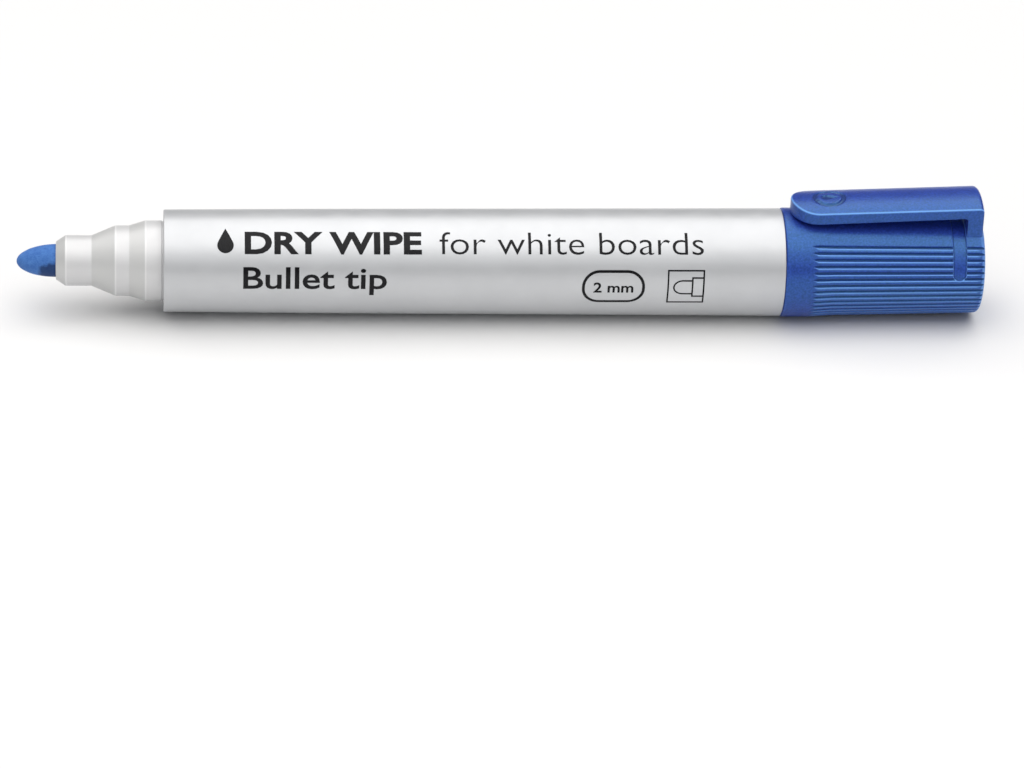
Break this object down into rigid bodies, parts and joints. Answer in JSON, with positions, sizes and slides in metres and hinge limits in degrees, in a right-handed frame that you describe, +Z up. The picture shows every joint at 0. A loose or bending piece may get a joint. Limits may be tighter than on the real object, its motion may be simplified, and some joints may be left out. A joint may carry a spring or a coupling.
{
  "type": "whiteboard marker",
  "caption": "Round tapered whiteboard marker with a bullet nib, a stepped nose and a ribbed cap with a pocket clip, posted on the rear end.",
  "frame": {"origin": "on the surface that the marker lies on, straight below its axis, at the middle of its overall length with the cap posted", "axes": "+X along the axis from the nib to the cap's closed end, +Z up through the pocket clip, +Y to the left seen from the nib"},
  "size_m": [0.1428, 0.0162, 0.0198],
  "materials": {
    "barrel_plastic": "satin silver-white moulded polypropylene with dark print",
    "nose_plastic": "satin off-white moulded polypropylene, slightly translucent",
    "nib_fibre": "bonded fibre soaked with blue ink",
    "reservoir_fibre": "fibre bundle soaked with blue ink",
    "reservoir_film": "thin clear film",
    "cap_plastic": "blue moulded polypropylene with a fine matte grain",
    "liner_plastic": "smooth natural polyethylene"
  },
  "bodies": {
    "marker_body": {"barrel": "barrel_plastic", "front_section": "nose_plastic", "reservoir_core": "reservoir_fibre", "reservoir_film": "reservoir_film", "end_plug": "cap_plastic"},
    "nib": {"nib": "nib_fibre"},
    "cap_inner": {"cap_liner": "liner_plastic"},
    "cap_outer": {"cap_shell": "cap_plastic"},
    "clip": {"pocket_clip": "cap_plastic"}
  },
  "joints": [
    {"name": "nib_pull", "type": "slide", "parent": "marker_body", "child": "nib", "axis": [-1, 0, 0], "range_m": [0, 0.036]},
    {"name": "cap_pull", "type": "slide", "parent": "marker_body", "child": "cap_inner", "axis": [1, 0, 0], "range_m": [0, 0.03]},
    {"name": "cap_twist", "type": "hinge", "parent": "cap_inner", "child": "cap_outer", "pos_m": [0.0565, 0, 0.00811], "axis": [1, 0, 0], "continuous": true},
    {"name": "clip_flex", "type": "hinge", "parent": "cap_outer", "child": "clip", "pos_m": [0.0686, 0, 0.01845], "axis": [0, 1, 0], "range_deg": [0, 4.5], "stiffness_Nm_per_rad": 2.2}
  ]
}
